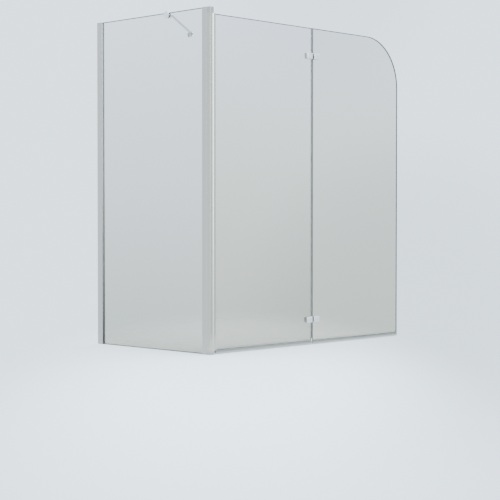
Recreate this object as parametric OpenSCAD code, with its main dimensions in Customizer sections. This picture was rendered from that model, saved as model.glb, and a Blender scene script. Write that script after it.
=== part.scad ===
// Folding bath screen: a fixed side glass and two folding front leaves that turn in a corner post.
// X runs along the front from the side glass, Y runs from the front glass to the wall profile
// and Z rises from the level that the screen stands on. The origin is the foot of the corner post.

/* [Screen] */
// Height from the foot of the corner post to the top of the side glass
screen_h = 1398; // [1000:1:1700]
// Front length, from the side glass to the free edge of the outer leaf
front_len = 1216; // [900:2:1500]
// Side depth, from the front glass to the back of the wall profile
side_len = 693; // [500:1:900]
// Distance from the side glass to the fold line
fold_x = 618; // [480:1:740]
// Radius of the free upper corner of the outer leaf
corner_r = 220; // [60:5:300]

/* [Glass] */
// Thickness of the safety glass
glass_t = 5; // [4:0.5:6]
// Width of the ground arris along the glass's edges
arris = 0.8; // [0.4:0.1:1]
// Height of the leaves' lower edge above the foot of the corner post
leaf_gap = 15; // [12:0.5:20]
// Drop of the leaves' top edge below the side glass
leaf_drop = 26; // [22:1:60]
// Gap between the two leaves at the fold
fold_gap = 8; // [7:0.5:9]
// Thickness of the strip under the side glass
rim_strip_t = 1.2; // [1:0.1:3]

/* [Corner post] */
// Half width of the square post
post_half = 10; // [10:0.5:14]
// Radius of the stile's round back
barrel_r = 9; // [9:0.25:9.5]
// Running gap between the round back and the post's groove
barrel_gap = 0.5; // [0.4:0.1:0.8]
// Reach of the stile's glass channel from the pivot axis
stile_reach = 17; // [14:0.5:20]
// Wall of the aluminium profiles
profile_wall = 1.6; // [1.4:0.1:1.8]
// Thickness of the corner cover
cover_t = 4; // [3.5:0.25:6]
// Radius of the corner cover's upper edge
cover_r = 3; // [1:0.25:3.2]
// Radius of the pivot pins
pivot_pin_r = 3; // [2.5:0.1:3.2]
// Outer radius of the pivot bushes
bush_r = 4.6; // [4.3:0.1:4.8]
// Length of the pivot bushes inside the stile
bush_len = 22; // [14:1:40]
// Thickness of the bushes' flanges
bush_flange_t = 1; // [0.8:0.1:1.5]

/* [Side channel and wall profile] */
// Half width of the channel that grips the side glass
channel_half = 7.5; // [7:0.25:9]
// Distance from the front glass to the channel's mouth
channel_end = 39.5; // [34:0.5:60]
// Depth of the wall profile
wall_profile_d = 30; // [24:1:40]
// Half width of the wall profile
wall_half = 9; // [8.5:0.25:12]
// Wall of the wall profile
wall_profile_wall = 1.8; // [1.5:0.1:2.2]
// Radius of the wall profile's front corners
wall_corner_r = 2; // [0.5:0.25:2.2]
// Radius of the screw holes in the wall profile
wall_hole_r = 2.5; // [2:0.1:3]
// Distance of the outer screw holes from the profile's ends
wall_hole_inset = 78; // [40:1:150]

/* [Fold hinges] */
// Height of the lower hinge's centre above the foot of the corner post
hinge_low_z = 109; // [80:1:200]
// Depth of the upper hinge's centre below the leaves' top edge
hinge_high_drop = 122; // [90:1:200]
// Length of a hinge plate, across the fold
plate_len = 34.4; // [30:0.2:50]
// Height of a hinge plate
plate_h = 25; // [22:0.5:40]
// Thickness of the outside cover plates
cover_plate_t = 7; // [5:0.25:8]
// Thickness of the inside hinge plates
inside_plate_t = 5.5; // [5:0.1:5.8]
// Thickness of the pads between plates and glass
pad_t = 1; // [0.6:0.1:1.2]
// Distance of the hinge pin's axis behind the glass's middle plane
pin_offset = 10; // [9.8:0.1:11]
// Radius of the knuckles
knuckle_r = 5; // [4.6:0.1:5.2]
// Radius of the hinge pins
hinge_pin_r = 2.5; // [2:0.1:2.6]

/* [Stabiliser bar] */
// Distance of the glass clamp from the front glass
clamp_y = 249; // [150:1:350]
// Radius of the clamp's button
clamp_r = 14; // [13:0.5:18]
// Reach of the clamp's button outside the glass's middle plane
clamp_reach = 11; // [9:0.5:14]
// Height of the bar's axis above the side glass
bar_rise = 4; // [3:0.5:7]
// Radius of the bar
bar_r = 5; // [4:0.25:5.5]
// Distance of the wall flange from the side glass
flange_x = 545; // [350:1:700]
// Radius of the wall flange
flange_r = 16; // [15:0.5:20]
// Radius of the screw holes in the wall flange
flange_hole_r = 2.2; // [2:0.1:2.4]
// Spacing of the screw holes in the wall flange
flange_hole_gap = 21; // [20:0.5:23]

/* [Hidden] */
$fn = 48;
eps = 0.01;
fit = 0.05;
run_fit = 0.05;
axial_gap = 0.4;
half_t = glass_t / 2;
cap_t = 2;
plug_depth = 6;
plug_gap = 0.2;
slot_gap = 0.2;

// Heights
glass_top = screen_h;
profile_top = glass_top - cap_t;
leaf_top = glass_top - leaf_drop;
stile_bottom = leaf_gap + 0.4;
foot_h = stile_bottom - bush_flange_t - axial_gap;
block_bottom = leaf_top + bush_flange_t + axial_gap;
block_top = glass_top - cover_t;

// Stile
gasket_t = 1;
stile_wall = 1.5;
barrel_skin = 1.4;
bush_web = 1.5;
gasket_nose = 0.9;
stile_half = half_t + gasket_t + stile_wall;
stile_slot = half_t + gasket_t;
pivot_x = post_half;
stile_end_x = pivot_x + stile_reach;
stile_slot_x = pivot_x + bush_r + 2.2;
leaf_glass_x0 = stile_slot_x + 0.3;
seal_x0 = stile_end_x + gasket_nose + 0.5;

// Corner post
groove_r = barrel_r + barrel_gap;
post_corner_r = 1;
post_tip_x = pivot_x - stile_half - 0.6;
port_at = post_half - 4.2;
port_r = 1.7;
port_wall = 1.3;
strip_half = 1.7;
strip_depth = 2.7;
strip_gap = 0.1;
block_corner_r = 1.5;
block_screw_r = 1.65;
block_head_r = 3.3;
block_screw_bite = 12;
upper_pin_seat = 13.8;
lower_pin_seat = 9.8;
pin_chamfer = 0.8;
bush_tail = 2;

// Side channel
channel_web = 2.5;
channel_flat = 0.8;
channel_bevel = 6.5;
channel_corner = 0.6;
channel_lip = 0.8;
lip_depth = 2.5;
side_glass_y0 = post_half + 9;
channel_screw_r = 1.9;
channel_head_r = 3.7;
channel_screw_bite = 2.7;
channel_screw_x = -0.5;
channel_screw_zs = [for (i = [0:3]) foot_h + 60 + i * (block_bottom - foot_h - 120) / 3];

// Wall profile
wall_lip = 1;
wall_mouth_y = side_len - wall_profile_d;
wall_web_y = side_len - 2;
side_glass_y1 = wall_web_y - 5;
wall_hole_zs = [wall_hole_inset, glass_top / 2, glass_top - wall_hole_inset];

// Fold
hinge_zs = [hinge_low_z, leaf_top - hinge_high_drop];
inner_edge_x = fold_x - fold_gap / 2;
outer_edge_x = fold_x + fold_gap / 2;
plate_x = knuckle_r + 0.6;
plate_y = half_t + pad_t;
plate_corner_r = 2;
cover_chamfer = 1.2;
screw_inset = 9;
screw_xs = [plate_x + screw_inset, plate_x + plate_len - screw_inset];
sleeve_r = 4.6;
hinge_screw_r = 2.45;
hinge_head_r = 4.5;
hinge_screw_bite = 4.4;
knuckle_z = 4;
knuckle_gap = 0.3;
hinge_bush_t = 1;

// Seals
seal_t = 1;
seal_leg = 10;
seal_floor = 1.5;
seal_clear = 0.6;
fold_seal_t = 0.9;
fold_seal_leg = 6;

// Stabiliser bar
bar_z = glass_top + bar_rise;
clamp_z = glass_top - 8;
clamp_top = glass_top + 0.6;
clamp_screw_r = 3;
clamp_screw_drop = 5;
swivel_y = side_len - 18;
bar_a = atan2(swivel_y - clamp_y, flange_x);
bar_len = norm([flange_x, swivel_y - clamp_y]);
socket_r = bar_r + 2.5;
socket_len = 34;
bar_screw_r = 2;
bar_screw_at = socket_len - 7;
bar_start = 13;
bar_stop = bar_len - 14;
end_socket_start = bar_len - 38;
end_socket_len = 29;
fork_half = 6;
fork_gap = 4.4;
fork_t = 4;
swivel_r = 2.5;
swivel_head_r = 4.4;
swivel_head_h = 2.8;
flange_t = 5;
flange_chamfer = 1.5;

aluminium = "#c3c8ca";
chrome = "#dadfe1";
glass = [0.80, 0.88, 0.86, 0.45];
clear_seal = "#c9d0d1";
grey_seal = "#8d9496";
nylon = "#e9e9e4";
steel = "#aab0b3";

// ---- Shared shapes ----

// Rectangle from one corner to the other, with its corners rounded
module soft_rect(low, high, r) {
    translate([low.x + r, low.y]) square([high.x - low.x - 2 * r, high.y - low.y]);
    translate([low.x, low.y + r]) square([high.x - low.x, high.y - low.y - 2 * r]);
    for (x = [low.x + r, high.x - r], y = [low.y + r, high.y - r]) translate([x, y]) circle(r);
}

// Children, and their mirror image across the plane of the side glass
module both_sides_x() {
    children();
    mirror([1, 0, 0]) children();
}

// Children, and their mirror image across the plane of the front glass
module both_sides_y() {
    children();
    mirror([0, 1, 0]) children();
}

// Rectangle w long and as thick as the glass, with the arrises cut off its corners
module arrised_rect(w) {
    polygon([[arris, -half_t], [w - arris, -half_t], [w, arris - half_t], [w, half_t - arris],
        [w - arris, half_t], [arris, half_t], [0, half_t - arris], [0, arris - half_t]]);
}

// Pane of glass, w along X and h along Z, with ground arrises along all its edges
module pane(w, h) {
    intersection() {
        linear_extrude(h) arrised_rect(w);
        rotate(180, [1, 0, 1]) linear_extrude(w) arrised_rect(h);
    }
}

// Half of a glazing gasket's section. It starts at the profile's mouth: depth runs into the profile
// along +X, and Y runs from the glass face outwards. A hook sits behind the mouth's lip.
module gasket_section(cavity, mouth, lip, depth, nose, cover) {
    polygon([[depth, half_t], [depth - 2, cavity], [lip, cavity], [lip, mouth], [0, mouth], [0, cover],
        [-nose * 0.6, cover - 0.4], [-nose, half_t + (cover - half_t) * 0.35], [-nose, half_t]]);
}

// Screw that points along -Z with its countersunk head's top at the origin and a hexagon socket
module countersunk_screw(r, len, head_r, socket_af) {
    head_h = head_r - r;
    difference() {
        union() {
            translate([0, 0, -len]) cylinder(r = r, h = len - head_h);
            translate([0, 0, -head_h]) cylinder(r1 = r, r2 = head_r, h = head_h);
        }
        translate([0, 0, -1.6]) cylinder(d = socket_af / cos(30), h = 1.6 + eps, $fn = 6);
    }
}

// Countersunk hole along -Z from the origin
module countersunk_hole(r, len, head_r) {
    head_h = head_r - r;
    translate([0, 0, -len - eps]) cylinder(r = r, h = len + 2 * eps);
    translate([0, 0, -head_h]) cylinder(r1 = r, r2 = head_r + eps, h = head_h + eps);
}

// ---- Wall profile ----

// Outer outline of the wall profile, square at the back and rounded in front
module wall_profile_outline() {
    soft_rect([-wall_half, wall_mouth_y], [wall_half, side_len], wall_corner_r);
    translate([-wall_half, side_len - wall_corner_r - 1]) square([2 * wall_half, wall_corner_r + 1]);
}

module wall_profile_section() {
    inner = wall_half - wall_profile_wall;
    mouth = inner - wall_lip;
    slot_y = wall_mouth_y + lip_depth;
    difference() {
        wall_profile_outline();
        translate([-inner, slot_y]) square([2 * inner, wall_web_y - slot_y]);
        translate([-mouth, wall_mouth_y - 1]) square([2 * mouth, lip_depth + 2]);
    }
}

module wall_profile() {
    color(aluminium) difference() {
        linear_extrude(profile_top) wall_profile_section();
        for (z = wall_hole_zs) {
            translate([0, wall_web_y - 1, z]) rotate([-90, 0, 0]) cylinder(r = wall_hole_r, h = 4);
        }
    }
}

module wall_profile_cap() {
    inner = wall_half - wall_profile_wall - plug_gap;
    plug_y = side_glass_y1 + 1;
    color(chrome) difference() {
        union() {
            translate([0, 0, profile_top]) linear_extrude(cap_t) wall_profile_outline();
            translate([-inner, plug_y, profile_top - plug_depth])
                cube([2 * inner, wall_web_y - plug_gap - plug_y, plug_depth + 1]);
        }
        translate([-half_t - slot_gap, wall_mouth_y - 1, profile_top - 1])
            cube([glass_t + 2 * slot_gap, plug_y - wall_mouth_y + 0.5, cap_t + 2]);
    }
}

module wall_gaskets() {
    cavity = wall_half - wall_profile_wall;
    mouth = cavity - wall_lip;
    color(grey_seal) both_sides_x() translate([0, wall_mouth_y, 0]) rotate([0, 0, 90]) mirror([0, 1, 0])
        linear_extrude(profile_top) gasket_section(cavity, mouth, lip_depth, 12, 2.6, mouth - 0.2);
}

// ---- Side glass ----

module side_glass() {
    color(glass) translate([0, side_glass_y0, rim_strip_t]) rotate([0, 0, 90])
        pane(side_glass_y1 - side_glass_y0, glass_top - rim_strip_t);
}

module rim_strip() {
    color(clear_seal) translate([-half_t, side_glass_y0, 0])
        cube([glass_t, side_glass_y1 - side_glass_y0, rim_strip_t]);
}

// ---- Side channel of the corner post ----

// Outer outline of the channel, which narrows from the post's width to its own
module channel_outline() {
    flat_end = post_half + channel_flat;
    bevel_end = post_half + channel_bevel;
    c = channel_corner;
    polygon([[-post_half, post_half], [post_half, post_half], [post_half, flat_end],
        [channel_half, bevel_end], [channel_half, channel_end - c], [channel_half - c, channel_end],
        [-channel_half + c, channel_end], [-channel_half, channel_end - c], [-channel_half, bevel_end],
        [-post_half, flat_end]]);
}

module channel_section() {
    inner = channel_half - profile_wall;
    mouth = inner - channel_lip;
    start = post_half + channel_web;
    shoulder = post_half + channel_bevel;
    lip_y = channel_end - lip_depth;
    difference() {
        channel_outline();
        polygon([[-inner - 1, start], [inner + 1, start], [inner, shoulder], [inner, lip_y], [mouth, lip_y],
            [mouth, channel_end + 1], [-mouth, channel_end + 1], [-mouth, lip_y], [-inner, lip_y],
            [-inner, shoulder]]);
    }
}

module side_channel() {
    color(aluminium) difference() {
        linear_extrude(profile_top) channel_section();
        for (z = channel_screw_zs) {
            translate([channel_screw_x, post_half + channel_web, z]) rotate([-90, 0, 0])
                countersunk_hole(channel_screw_r + 0.1, channel_web, channel_head_r + 0.1);
        }
    }
}

module channel_cap() {
    inner = channel_half - profile_wall - plug_gap;
    plug_y = post_half + channel_web + 0.4;
    color(chrome) difference() {
        union() {
            translate([0, 0, profile_top]) linear_extrude(cap_t) channel_outline();
            translate([-inner, plug_y, profile_top - plug_depth])
                cube([2 * inner, side_glass_y0 - 1 - plug_y, plug_depth + 1]);
        }
        translate([-half_t - slot_gap, side_glass_y0 - 0.5, profile_top - 1])
            cube([glass_t + 2 * slot_gap, channel_end - side_glass_y0 + 2, cap_t + 2]);
    }
}

module channel_gaskets() {
    cavity = channel_half - profile_wall;
    mouth = cavity - channel_lip;
    color(clear_seal) both_sides_x() translate([0, channel_end, 0]) rotate([0, 0, -90])
        linear_extrude(profile_top) gasket_section(cavity, mouth, lip_depth, 12, 1.4, channel_half - 0.8);
}

module channel_screws() {
    color(steel) for (z = channel_screw_zs) {
        translate([channel_screw_x, post_half + channel_web, z]) rotate([-90, 0, 0])
            countersunk_screw(channel_screw_r, channel_web + channel_screw_bite, channel_head_r, 2.5);
    }
}

// ---- Corner post ----

// Plan of the blocks above and below the stile: the post's width with a round end about the pivot
module block_outline(inset) {
    half = post_half - inset;
    translate([pivot_x, 0]) circle(half);
    soft_rect([-half, -half], [pivot_x - half + 3, half], block_corner_r);
    translate([-half + 3, -half]) square([pivot_x + half - 3, 2 * half]);
    translate([-half, 0]) square([3, half]);
}

// Screw ports that the blocks are fastened to
module post_ports(r) {
    for (y = [-port_at, port_at]) translate([-port_at, y]) circle(r);
}

module post_section() {
    inner = post_half - profile_wall;
    strip_x = pivot_x - groove_r;
    seat = strip_depth + strip_gap;
    seat_half = strip_half + strip_gap;
    difference() {
        union() {
            difference() {
                union() {
                    soft_rect([-post_half, -post_half], [post_tip_x, post_half], post_corner_r);
                    translate([-post_half, 0]) square([post_half, post_half]);
                }
                difference() {
                    translate([-inner, -inner]) square([inner + 4, 2 * inner]);
                    translate([pivot_x, 0]) circle(groove_r + profile_wall);
                }
            }
            post_ports(port_r + port_wall);
            translate([strip_x - seat - profile_wall, -seat_half - 1.2])
                square([seat + profile_wall, 2 * seat_half + 2.4]);
        }
        translate([pivot_x, 0]) circle(groove_r);
        post_ports(port_r);
        translate([strip_x - seat, -seat_half]) square([seat + 1.2, 2 * seat_half]);
    }
}

module corner_post() {
    color(aluminium) difference() {
        translate([0, 0, foot_h]) linear_extrude(block_bottom - foot_h) post_section();
        for (z = channel_screw_zs) {
            translate([channel_screw_x, post_half + 1, z]) rotate([90, 0, 0])
                cylinder(r = channel_screw_r + 0.15, h = channel_screw_bite + 1);
        }
    }
}

// Soft strip in the groove, which keeps water from passing behind the stile
module post_seal() {
    strip_x = pivot_x - groove_r;
    color(grey_seal) translate([0, 0, foot_h]) linear_extrude(block_bottom - foot_h) {
        translate([strip_x - strip_depth, -strip_half]) square([strip_depth - 0.5, 2 * strip_half]);
        translate([strip_x - 0.5, 0]) intersection() {
            circle(0.7);
            translate([0, -1]) square([1, 2]);
        }
    }
}

module upper_block() {
    color(chrome) difference() {
        translate([0, 0, block_bottom]) linear_extrude(block_top - block_bottom) block_outline(0);
        for (y = [-port_at, port_at]) {
            translate([-port_at, y, block_top])
                countersunk_hole(port_r, block_top - block_bottom, block_head_r + 0.1);
        }
        translate([pivot_x, 0, block_bottom - 1]) cylinder(r = pivot_pin_r + eps, h = upper_pin_seat + 1.2);
    }
}

// Cover with a quarter-round upper edge
module post_cover() {
    color(chrome) translate([0, 0, block_top]) hull() {
        for (a = [0:22.5:90]) {
            linear_extrude(cover_t - cover_r + cover_r * sin(a)) block_outline(cover_r * (1 - cos(a)));
        }
    }
}

// The two screws of a block, pointing down from its top face at the origin's height
module block_screws(block_h) {
    len = block_h + block_screw_bite;
    for (y = [-port_at, port_at]) {
        translate([-port_at, y, 0]) countersunk_screw(block_screw_r, len, block_head_r, 2.5);
    }
}

module upper_block_screws() {
    color(steel) translate([0, 0, block_top]) block_screws(block_top - block_bottom);
}

module foot_block() {
    color(chrome) difference() {
        linear_extrude(foot_h) block_outline(0);
        for (y = [-port_at, port_at]) {
            translate([-port_at, y, 0]) mirror([0, 0, 1])
                countersunk_hole(port_r, foot_h, block_head_r + 0.1);
        }
        translate([pivot_x, 0, foot_h - lower_pin_seat - 0.2])
            cylinder(r = pivot_pin_r + eps, h = lower_pin_seat + 1);
    }
}

module foot_block_screws() {
    color(steel) mirror([0, 0, 1]) block_screws(foot_h);
}

// Pivot pin with a chamfered free end, standing on the origin
module pivot_pin(len) {
    shank = len - pin_chamfer;
    cylinder(r = pivot_pin_r, h = shank);
    translate([0, 0, shank]) cylinder(r1 = pivot_pin_r, r2 = pivot_pin_r - pin_chamfer, h = pin_chamfer);
}

module upper_pivot_pin() {
    top = block_bottom + upper_pin_seat;
    bottom = leaf_top - bush_len + bush_tail;
    color(steel) translate([pivot_x, 0, top]) mirror([0, 0, 1]) pivot_pin(top - bottom);
}

module lower_pivot_pin() {
    top = stile_bottom + bush_len - bush_tail;
    bottom = foot_h - lower_pin_seat;
    color(steel) translate([pivot_x, 0, bottom]) pivot_pin(top - bottom);
}

// ---- Stabiliser bar ----

// Children in the bar's own frame: X runs along the bar's axis from the clamp to the flange
module along_bar() {
    translate([0, clamp_y, bar_z]) rotate([0, 0, bar_a]) children();
}

// Children in the frame of the clamp's screw: Z runs outwards from the middle of the glass
module along_clamp_screw() {
    translate([0, clamp_y, clamp_z - clamp_screw_drop]) rotate([0, 90, 0]) children();
}

module glass_clamp() {
    slot = half_t + pad_t;
    chamfer = 1;
    color(chrome) difference() {
        union() {
            translate([-clamp_reach, clamp_y, clamp_z]) rotate([0, 90, 0]) {
                cylinder(r1 = clamp_r - chamfer, r2 = clamp_r, h = chamfer);
                translate([0, 0, chamfer]) cylinder(r = clamp_r, h = 2 * clamp_reach - chamfer);
            }
            along_bar() translate([socket_r, 0, 0]) {
                sphere(socket_r);
                rotate([0, 90, 0]) cylinder(r = socket_r, h = socket_len - socket_r);
            }
        }
        translate([-slot, clamp_y - 2 * clamp_r, clamp_z - 2 * clamp_r])
            cube([2 * slot, 4 * clamp_r, clamp_top - clamp_z + 2 * clamp_r]);
        along_bar() {
            translate([bar_start - 0.5, 0, 0]) rotate([0, 90, 0]) cylinder(r = bar_r + fit, h = socket_len);
            translate([bar_screw_at, 0, bar_r]) cylinder(r = bar_screw_r, h = socket_r);
        }
        along_clamp_screw() translate([0, 0, half_t]) cylinder(r = clamp_screw_r, h = clamp_reach + 2);
    }
}

// Soft liner between the clamp and the glass: a disc on each face, joined over the glass's edge
module clamp_liner() {
    slot = half_t + pad_t;
    color(clear_seal) difference() {
        intersection() {
            translate([-slot, clamp_y, clamp_z]) rotate([0, 90, 0]) cylinder(r = clamp_r - 0.5, h = 2 * slot);
            translate([-slot, clamp_y - clamp_r, clamp_z - clamp_r])
                cube([2 * slot, 2 * clamp_r, clamp_top - clamp_z + clamp_r]);
        }
        translate([-half_t, clamp_y - clamp_r, clamp_z - clamp_r - 1])
            cube([glass_t, 2 * clamp_r, glass_top - clamp_z + clamp_r + 1]);
    }
}

// Headless screw from the origin along Z, with a hexagon socket socket_h deep in its end
module grub_screw(r, len, socket_af, socket_h) {
    difference() {
        cylinder(r = r, h = len);
        translate([0, 0, len - socket_h]) cylinder(d = socket_af / cos(30), h = socket_h + 1, $fn = 6);
    }
}

module clamp_screw() {
    tip = half_t + pad_t;
    color(steel) along_clamp_screw() translate([0, 0, tip])
        grub_screw(clamp_screw_r - fit, clamp_reach - tip - 0.5, 3, 2.5);
}

module bar_screw() {
    color(steel) along_bar() translate([bar_screw_at, 0, bar_r])
        grub_screw(bar_screw_r - fit, socket_r - bar_r + 0.4, 2, 1.7);
}

module support_bar() {
    color(chrome) along_bar() translate([bar_start, 0, 0]) rotate([0, 90, 0])
        cylinder(r = bar_r, h = bar_stop - bar_start);
}

// Socket on the bar's end, with a flat tongue that turns in the wall flange's fork
module bar_end() {
    chamfer = 1;
    tongue_half = fork_gap - 0.1;
    sleeve = end_socket_len - 2 * chamfer;
    color(chrome) difference() {
        along_bar() {
            translate([bar_len, 0, -tongue_half]) {
                cylinder(r = fork_half, h = 2 * tongue_half);
                translate([-12, -fork_half, 0]) cube([12, 2 * fork_half, 2 * tongue_half]);
            }
            translate([end_socket_start, 0, 0]) rotate([0, 90, 0]) {
                cylinder(r1 = socket_r - chamfer, r2 = socket_r, h = chamfer);
                translate([0, 0, chamfer]) cylinder(r = socket_r, h = sleeve);
                translate([0, 0, chamfer + sleeve])
                    cylinder(r1 = socket_r, r2 = socket_r - chamfer, h = chamfer);
            }
        }
        along_bar() {
            translate([end_socket_start - 1, 0, 0]) rotate([0, 90, 0])
                cylinder(r = bar_r + fit, h = bar_stop + 0.5 - end_socket_start + 1);
            translate([bar_len, 0, -fork_gap - 1]) cylinder(r = swivel_r + fit, h = 2 * fork_gap + 2);
        }
    }
}

module wall_flange() {
    rim = flange_t - flange_chamfer;
    color(chrome) difference() {
        union() {
            translate([flange_x, side_len, bar_z]) rotate([90, 0, 0]) {
                cylinder(r = flange_r, h = rim);
                translate([0, 0, rim])
                    cylinder(r1 = flange_r, r2 = flange_r - flange_chamfer, h = flange_chamfer);
            }
            for (z = [bar_z - fork_gap - fork_t, bar_z + fork_gap]) {
                translate([flange_x, swivel_y, z]) cylinder(r = fork_half, h = fork_t);
                translate([flange_x - fork_half, swivel_y, z])
                    cube([2 * fork_half, side_len - swivel_y - flange_t + eps, fork_t]);
            }
        }
        for (x = [-1, 1]) {
            translate([flange_x + x * flange_hole_gap / 2, side_len + 1, bar_z]) rotate([90, 0, 0])
                cylinder(r = flange_hole_r, h = flange_t + 2);
        }
        translate([flange_x, swivel_y, bar_z - 20]) cylinder(r = swivel_r + fit, h = 40);
    }
}

module swivel_screw() {
    bottom = bar_z - fork_gap - fork_t;
    color(steel) translate([flange_x, swivel_y, bottom]) difference() {
        union() {
            translate([0, 0, -swivel_head_h]) cylinder(r = swivel_head_r, h = swivel_head_h);
            translate([0, 0, -0.1]) cylinder(r = swivel_r, h = 2 * (fork_gap + fork_t) + 0.1);
        }
        translate([0, 0, -swivel_head_h - 1.2]) cylinder(d = 3 / cos(30), h = 3, $fn = 6);
    }
}

// ---- Pivot stile ----

module stile_section() {
    lip_r = 0.6;
    difference() {
        union() {
            translate([pivot_x, 0]) circle(barrel_r);
            translate([pivot_x, -stile_half]) square([stile_reach - lip_r, 2 * stile_half]);
            translate([pivot_x, -stile_half + lip_r]) square([stile_reach, 2 * (stile_half - lip_r)]);
            for (s = [-1, 1]) translate([stile_end_x - lip_r, s * (stile_half - lip_r)]) circle(lip_r);
        }
        translate([pivot_x, 0]) circle(bush_r);
        translate([stile_slot_x, -stile_slot]) square([stile_end_x - stile_slot_x + 1, 2 * stile_slot]);
        for (a = [82, 137, 192, 247]) translate([pivot_x, 0]) intersection() {
            difference() {
                circle(barrel_r - barrel_skin);
                circle(bush_r + bush_web);
            }
            rotate(a) polygon([[0, 0], [20, 0], [20, 14], [12, 14]]);
        }
    }
}

module pivot_stile() {
    color(aluminium) translate([0, 0, stile_bottom]) linear_extrude(leaf_top - stile_bottom) stile_section();
}

module stile_gaskets() {
    slot_len = stile_end_x - stile_slot_x;
    nose = stile_end_x + gasket_nose;
    color(clear_seal) translate([0, 0, stile_bottom]) linear_extrude(leaf_top - stile_bottom) both_sides_y() {
        translate([stile_slot_x + 1, half_t]) square([slot_len - 0.9, gasket_t]);
        polygon([[stile_end_x, half_t], [nose, half_t], [nose, half_t + 0.5],
            [stile_end_x, stile_slot + 0.7]]);
    }
}

// Bush with a flange under it, standing on the origin
module pivot_bush() {
    difference() {
        union() {
            translate([0, 0, -bush_flange_t]) cylinder(r = barrel_r - 0.6, h = bush_flange_t);
            translate([0, 0, -0.1]) cylinder(r = bush_r - eps, h = bush_len + 0.1);
        }
        translate([0, 0, -bush_flange_t - 1])
            cylinder(r = pivot_pin_r + run_fit, h = bush_len + bush_flange_t + 2);
    }
}

module upper_bush() {
    color(nylon) translate([pivot_x, 0, leaf_top]) mirror([0, 0, 1]) pivot_bush();
}

module lower_bush() {
    color(nylon) translate([pivot_x, 0, stile_bottom]) pivot_bush();
}

// ---- Leaves ----

// Holes for the hinge screws' sleeves, through a leaf's glass. side is -1 left of the fold, 1 right of it
module sleeve_holes(side) {
    for (z = hinge_zs, x = screw_xs) {
        translate([fold_x + side * x, half_t + 1, z]) rotate([90, 0, 0])
            cylinder(r = sleeve_r, h = glass_t + 2);
    }
}

module inner_glass() {
    color(glass) difference() {
        translate([leaf_glass_x0, 0, stile_bottom])
            pane(inner_edge_x - leaf_glass_x0, leaf_top - stile_bottom);
        sleeve_holes(-1);
    }
}

// Round corner of a pane about the origin, a quarter of a disc in X and Z with its arrises
module pane_corner(r) {
    rotate([90, 0, 0]) rotate_extrude(angle = 90, $fn = 96)
        polygon([[0, -half_t], [r - arris, -half_t], [r, arris - half_t], [r, half_t - arris],
            [r - arris, half_t], [0, half_t]]);
}

module outer_glass() {
    w = front_len - outer_edge_x;
    h = leaf_top - stile_bottom;
    color(glass) difference() {
        translate([outer_edge_x, 0, stile_bottom]) {
            difference() {
                pane(w, h);
                translate([w - corner_r, -glass_t, h - corner_r])
                    cube([corner_r + 1, 2 * glass_t, corner_r + 1]);
            }
            translate([w - corner_r, 0, h - corner_r]) pane_corner(corner_r);
        }
        sleeve_holes(1);
    }
}

// Section of a bottom seal in Y and Z: clip on the glass, front blade down to Z = 0, and drip fin
module bottom_seal_section() {
    top = stile_bottom;
    out = half_t + seal_t;
    for (y = [-out, half_t]) translate([y, top - seal_floor]) square([seal_t, seal_leg + seal_floor]);
    translate([-out, top - seal_floor]) square([2 * out, seal_floor]);
    polygon([[-out, seal_clear], [-out + 0.7, seal_clear], [-out + 0.9, top - 1], [-out, top - 1]]);
    polygon([[0.2, seal_clear], [0.9, seal_clear], [1, top - 1], [0, top - 1]]);
    polygon([[out - 1.2, top - 1], [out + 2.7, 5], [out + 3.4, 5.2], [out, top - 1]]);
}

module bottom_seal(x0, x1) {
    translate([x0, 0, 0]) rotate([90, 0, 90]) linear_extrude(x1 - x0) bottom_seal_section();
}

module inner_bottom_seal() {
    color(clear_seal) bottom_seal(seal_x0, inner_edge_x);
}

module outer_bottom_seal() {
    color(clear_seal) bottom_seal(outer_edge_x + 0.5, front_len);
}

// Fold seal in the gap between the leaves: a clip on the inner leaf's edge and a hollow bulb
module fold_seal_section() {
    edge = -fold_gap / 2;
    out = half_t + fold_seal_t;
    bulb_r = fold_gap / 2 - 0.6;
    for (y = [-out, half_t]) translate([edge - fold_seal_leg, y]) square([fold_seal_leg + 1, fold_seal_t]);
    translate([edge, -out]) square([1, 2 * out]);
    translate([edge + 0.8 + bulb_r, 0]) difference() {
        circle(bulb_r);
        circle(bulb_r - 0.8);
    }
}

module fold_seal() {
    clear = plate_h / 2 + 1;
    starts = [stile_bottom + seal_leg + 1, hinge_zs[0] + clear, hinge_zs[1] + clear];
    ends = [hinge_zs[0] - clear, hinge_zs[1] - clear, leaf_top];
    color(clear_seal) for (i = [0:2]) {
        translate([fold_x, 0, starts[i]]) linear_extrude(ends[i] - starts[i]) fold_seal_section();
    }
}

// ---- Fold hinges ----

// Children once for each hinge, in the hinge's own frame: X across the fold, Y through the glass.
// side is -1 on the inner leaf and 1 on the outer leaf
module at_hinges(side) {
    for (z = hinge_zs) translate([fold_x, 0, z]) mirror([side < 0 ? 1 : 0, 0, 0]) children();
}

// Outline of a hinge plate beside the fold, in X and Z
module plate_outline() {
    soft_rect([plate_x, -plate_h / 2], [plate_x + plate_len, plate_h / 2], plate_corner_r);
}

// Block with chamfered edges on its front face and rounded corners, for the outside cover plate
module cover_plate() {
    front = plate_y + cover_plate_t;
    x1 = plate_x + plate_len;
    c = cover_chamfer;
    half = plate_h / 2;
    difference() {
        intersection() {
            translate([0, 0, -half]) linear_extrude(plate_h)
                polygon([[plate_x, -plate_y], [plate_x, -front + c], [plate_x + c, -front],
                    [x1 - c, -front], [x1, -front + c], [x1, -plate_y]]);
            translate([plate_x - 1, 0, 0]) rotate([90, 0, 90]) linear_extrude(plate_len + 2)
                polygon([[-plate_y, -half], [-plate_y, half], [-front + c, half], [-front, half - c],
                    [-front, -half + c], [-front + c, -half]]);
            rotate([90, 0, 0]) linear_extrude(front + 1) plate_outline();
        }
        for (x = screw_xs) translate([x, -plate_y + 1, 0]) rotate([90, 0, 0])
            cylinder(r = hinge_screw_r + fit, h = hinge_screw_bite + 1.6);
    }
}

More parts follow.
